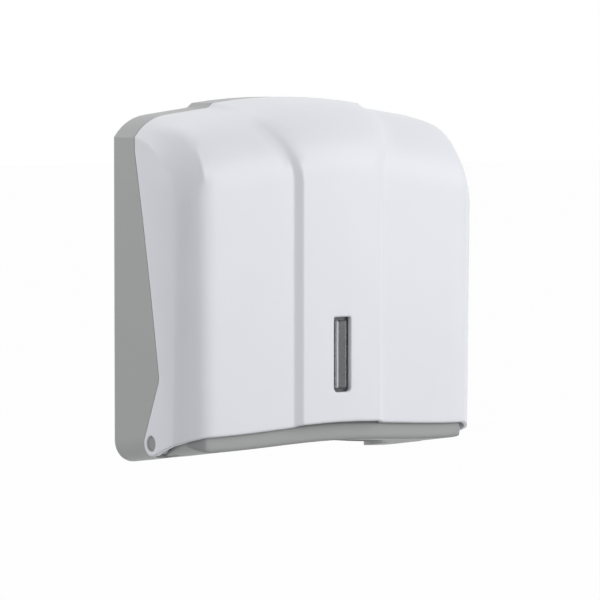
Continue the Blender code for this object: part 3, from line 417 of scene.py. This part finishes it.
# %% [markdown]
# ## Smoked polycarbonate
#
# The window is a clear sheet with a smoke tint. It is nearly black, because the box behind it is
# dark, and handling has made it slightly hazy. Glass-clear plastic would show every rib behind it,
# which the real one doesn't, so only a third of the light goes through, and the haze is a slow
# pattern of 6 mm in the roughness. Polycarbonate has an index of refraction of about 1.585.

# %% Smoked polycarbonate
SHEET_IOR = 1.585
HAZE_SPACING = 6 * MM
HAZE_ROUGHNESS = (0.22, 0.34)


def smoked_sheet(name, colour, see_through):
    """Tinted clear plastic, a little hazy from handling."""
    material, tree, shader, place = start_material(
        name, colour, IOR=SHEET_IOR, Transmission_Weight=see_through
    )
    haze = add_node(
        tree, "ShaderNodeTexNoise", {"Vector": place}, Scale=1 / HAZE_SPACING, Detail=2.0
    )
    cloud = add_node(
        tree, "ShaderNodeMapRange", {"Value": haze.outputs["Fac"]},
        To_Min=HAZE_ROUGHNESS[0], To_Max=HAZE_ROUGHNESS[1],
    )
    tree.links.new(cloud.outputs["Result"], shader.inputs["Roughness"])
    return material


smoked = smoked_sheet("smoked_polycarbonate", "#606065", see_through=0.35)
# A pale, opaque copy for the block's side faces: painted light for the light that leaves the block
# through its edges.
painted_edge_light = smoked_sheet("smoked_polycarbonate_painted_edge_light", "#F2F2F5", see_through=0.0)
dress(nodes["sight_window"], smoked)
print("dressed in smoked polycarbonate: sight_window")

# %% [markdown]
# ## The window's raised middle
#
# The window is one moulding: a thin sheet behind the slot, and a narrow block that stands forward
# in the slot. Light that gets into a clear block leaves it through its edges, so in the photograph
# the block's side is a pale line beside a dark face. Tracing that light would take many bounces. So
# the block is an outline with round corners, pushed forward and given a small bevel, and its side
# faces get a pale, opaque material instead, which is painted light for the light from the edges. It
# sits a little to the right of the middle, as in the photograph.

# %% Outline of the block
SHEET_TAB = 14 * MM
BLOCK_HALF = 4.3 * MM
BLOCK_SHIFT = 0.6 * MM
BLOCK_MARGIN = 2.7 * MM
BLOCK_CORNER = 1.2 * MM
CORNER_STEPS = 6


def round_outline(half, low, high, corner):
    """Corner points of an upright rectangle with round corners, as x and z."""
    points = []
    for turn, x, z in ((0, half, high), (90, -half, high), (180, -half, low), (270, half, low)):
        centre_x = x - math.copysign(corner, x)
        centre_z = high - corner if z == high else low + corner
        for step in range(CORNER_STEPS + 1):
            angle = math.radians(turn + 90 * step / CORNER_STEPS)
            points.append(
                (centre_x + corner * math.cos(angle), centre_z + corner * math.sin(angle))
            )
    return points


sheet_low, sheet_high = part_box("sight_window")
block_outline = round_outline(
    BLOCK_HALF, sheet_low.z + SHEET_TAB + BLOCK_MARGIN, sheet_high.z - SHEET_TAB - BLOCK_MARGIN,
    BLOCK_CORNER,
)
print("corner points of the block's outline:", len(block_outline))

# %% Raised block of the window
BLOCK_RISE = 3.2 * MM
BLOCK_BEVEL = 0.8 * MM
LEVEL_FACE = 0.99
SIDE_FACE = 0.6


def window_block():
    """The block that stands forward from the sheet into the cover's slot."""
    bm = bmesh.new()
    back = bm.faces.new([bm.verts.new((BLOCK_SHIFT + x, sheet_low.y, z)) for x, z in block_outline])
    pushed = bmesh.ops.extrude_face_region(bm, geom=[back])["geom"]
    front_verts = [item for item in pushed if isinstance(item, bmesh.types.BMVert)]
    bmesh.ops.translate(bm, verts=front_verts, vec=(0, -BLOCK_RISE, 0))
    front_edges = [edge for edge in bm.edges if all(vert in front_verts for vert in edge.verts)]
    bmesh.ops.bevel(
        bm, geom=front_edges, offset=BLOCK_BEVEL, segments=1, profile=0.5, affect="EDGES"
    )
    bmesh.ops.recalc_face_normals(bm, faces=bm.faces)
    for face in bm.faces:
        face.smooth = abs(face.normal.y) < LEVEL_FACE
        # The side faces get the pale painted edge light.
        face.material_index = 1 if abs(face.normal.x) > SIDE_FACE else 0
    mesh = bpy.data.meshes.new("window_block")
    bm.to_mesh(mesh)
    bm.free()
    mesh.set_sharp_from_angle(angle=CRISP_ANGLE)
    mesh.materials.append(smoked)
    mesh.materials.append(painted_edge_light)
    block = bpy.data.objects.new("window_block", mesh)
    bpy.context.scene.collection.objects.link(block)
    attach(block, "cover")
    return block


print("window block in mm:", [round(v / MM, 1) for v in window_block().dimensions])

# %% [markdown]
# ## Plated steel and cast zinc
#
# The screws, clips and the lock's nut and tongue are steel with a bright zinc plating, which is a
# slightly warm, cloudy silver with patches about 1.5 mm wide. The lock is a zinc casting, chromed
# and satin, so it is a little darker and its patches are wider. With one even roughness such small
# metal would look painted, so a soft pattern makes it drift.

# %% Metals
PATCH_DRIFT = 0.08


def plated_metal(name, colour, roughness, patch_width):
    """A metal whose roughness changes in soft patches of a real size."""
    material, tree, shader, place = start_material(name, colour, Metallic=1.0)
    patches = add_node(
        tree, "ShaderNodeTexNoise", {"Vector": place}, Scale=1 / patch_width, Detail=2.0
    )
    rough = add_node(
        tree, "ShaderNodeMapRange", {"Value": patches.outputs["Fac"]},
        To_Min=roughness - PATCH_DRIFT, To_Max=roughness + PATCH_DRIFT,
    )
    tree.links.new(rough.outputs["Result"], shader.inputs["Roughness"])
    return material


plated_steel = plated_metal("steel_zinc_plated", "#B4B3AD", roughness=0.34, patch_width=1.5 * MM)
cast_zinc = plated_metal("zinc_cast_chromed", "#A3A4A8", roughness=0.30, patch_width=4 * MM)
STEEL_PIECES = [name for name in nodes if "screw" in name or "clip" in name or "washer" in name]
STEEL_PIECES += ["lock_nut", "lock_cam"]
ZINC_PIECES = ["lock_barrel", "lock_core"]
for name in STEEL_PIECES:
    dress(nodes[name], plated_steel)
for name in ZINC_PIECES:
    dress(nodes[name], cast_zinc)
print("pieces of plated steel and of cast zinc:", len(STEEL_PIECES), len(ZINC_PIECES))

# %% [markdown]
# ## Floor and light
#
# The photograph is a catalogue picture: white all round and lit by large soft panels. The floor
# lies 0.3 m below the dispenser, which hangs on a wall in use, and catches its soft shadow. It is
# 60 m wide, so that its far edge can't be seen. More light would make the floor white, but it
# would bleach the cover too. So the camera and the mirror-like or clear surfaces see the floor and
# the world as nearly pure white, while the light on the object stays at a plain level.


# %% Rays that see white
def seen_directly(tree):
    """1 for a ray from the camera, from a mirror-like surface or through clear plastic, or 0."""
    path = add_node(tree, "ShaderNodeLightPath")
    seen = path.outputs["Is Camera Ray"]
    for kind in ("Is Glossy Ray", "Is Transmission Ray"):
        either = add_node(
            tree, "ShaderNodeMath", {0: seen, 1: path.outputs[kind]}, operation="MAXIMUM"
        )
        seen = either.outputs[0]
    return seen


# %% Floor
FLOOR_DROP = 0.30
FLOOR_SIZE = 60.0
WHITE_SHARE = 0.98

reach = FLOOR_SIZE / 2
floor_corners = [(-reach, -reach, 0), (reach, -reach, 0), (reach, reach, 0), (-reach, reach, 0)]
floor_mesh = bpy.data.meshes.new("floor")
floor_mesh.from_pydata(floor_corners, [], [(0, 1, 2, 3)])
floor = bpy.data.objects.new("floor", floor_mesh)
floor.location = (0, 0, cad_box[0].z - FLOOR_DROP)
bpy.context.scene.collection.objects.link(floor)

floor_paint, floor_tree, paint, _ = start_material("floor_paint", "#C9CACB", Roughness=0.9)
glow = add_node(floor_tree, "ShaderNodeEmission", Color=linear("#FFFFFF"), Strength=1.0)
share = add_node(floor_tree, "ShaderNodeMath", {0: seen_directly(floor_tree)}, operation="MULTIPLY")
share.inputs[1].default_value = WHITE_SHARE
blend = add_node(
    floor_tree, "ShaderNodeMixShader",
    {0: share.outputs[0], 1: paint.outputs["BSDF"], 2: glow.outputs[0]},
)
floor_output = floor_tree.nodes["Material Output"]
floor_tree.links.new(blend.outputs[0], floor_output.inputs["Surface"])
floor_mesh.materials.append(floor_paint)
print("floor at z in m:", round(floor.location.z, 3))

# %% World
ROOM_LEVEL = 0.42

world = bpy.data.worlds.new("studio")
bpy.context.scene.world = world
world.use_nodes = True
room_tree = world.node_tree
room_tree.nodes.clear()
room = add_node(room_tree, "ShaderNodeBackground", Color=linear("#F4F6FA"), Strength=ROOM_LEVEL)
white = add_node(room_tree, "ShaderNodeBackground", Color=linear("#FFFFFF"), Strength=1.0)
sky = add_node(
    room_tree, "ShaderNodeMixShader",
    {0: seen_directly(room_tree), 1: room.outputs[0], 2: white.outputs[0]},
)
add_node(room_tree, "ShaderNodeOutputWorld", {"Surface": sky.outputs[0]})
print("light of the room:", ROOM_LEVEL)

# %% [markdown]
# ## Soft panels
#
# Four square lamps stand round the dispenser, as in a catalogue studio. The key panel is in front
# to the right and a weak fill is straight ahead, for the front of the cover. The panel behind on
# the left lights the chassis's side, which the camera sees, and the one above lights the shoulders.
# One lamp would leave the chassis nearly black, and small lamps would draw hard shadows. Each panel
# is aimed at the middle of the object. Sizes and distances are in metres, and powers in watts.


# %% Soft panels
def soft_panel(name, azimuth, elevation, distance, size, power):
    """A square lamp aimed at the dispenser. Azimuth 0 is in front, and it grows to the right."""
    lamp = bpy.data.lights.new(name, "AREA")
    lamp.size = size
    lamp.energy = power
    holder = bpy.data.objects.new(name, lamp)
    turn, lift = math.radians(azimuth), math.radians(elevation)
    aim = (cad_box[0] + cad_box[1]) / 2
    away = Vector((
        math.sin(turn) * math.cos(lift), -math.cos(turn) * math.cos(lift), math.sin(lift)
    ))
    holder.location = aim + away * distance
    holder.rotation_mode = "QUATERNION"
    holder.rotation_quaternion = away.to_track_quat("Z", "Y")
    bpy.context.scene.collection.objects.link(holder)
    print(name, "at", [round(v, 2) for v in holder.location], "m with", power, "W")


soft_panel("key_panel", azimuth=34, elevation=20, distance=2.2, size=1.7, power=27)
soft_panel("fill_panel", azimuth=-6, elevation=10, distance=2.4, size=1.7, power=3.0)
soft_panel("left_panel", azimuth=-130, elevation=27, distance=2.4, size=1.4, power=19.8)
soft_panel("top_panel", azimuth=180, elevation=70, distance=2.4, size=1.4, power=10)

# %% [markdown]
# ## Camera
#
# The place of the camera was worked out from the photograph: about 2.8 m away, 36 degrees to the
# left of straight ahead and about level with the dispenser's top. A nearer camera with a short lens
# could fill the picture too, but the photograph's upright edges are almost parallel, which takes a
# long lens.

# %% Camera
CAMERA_PLACE = Vector((-1.6524, -2.3596, 0.1204))
CAMERA_AIM = Vector((-0.0023, -0.0520, -0.0268))
LENS_MM = 219.4
SENSOR_MM = 36.0

camera = bpy.data.objects.new("camera", bpy.data.cameras.new("camera"))
camera.data.lens = LENS_MM
camera.data.sensor_width = SENSOR_MM
camera.location = CAMERA_PLACE
camera.rotation_mode = "QUATERNION"
camera.rotation_quaternion = (CAMERA_AIM - CAMERA_PLACE).to_track_quat("-Z", "Y")
bpy.context.scene.collection.objects.link(camera)
bpy.context.scene.camera = camera
bpy.context.scene.view_settings.view_transform = "Standard"
print("camera's distance in m:", round((CAMERA_AIM - CAMERA_PLACE).length, 2))
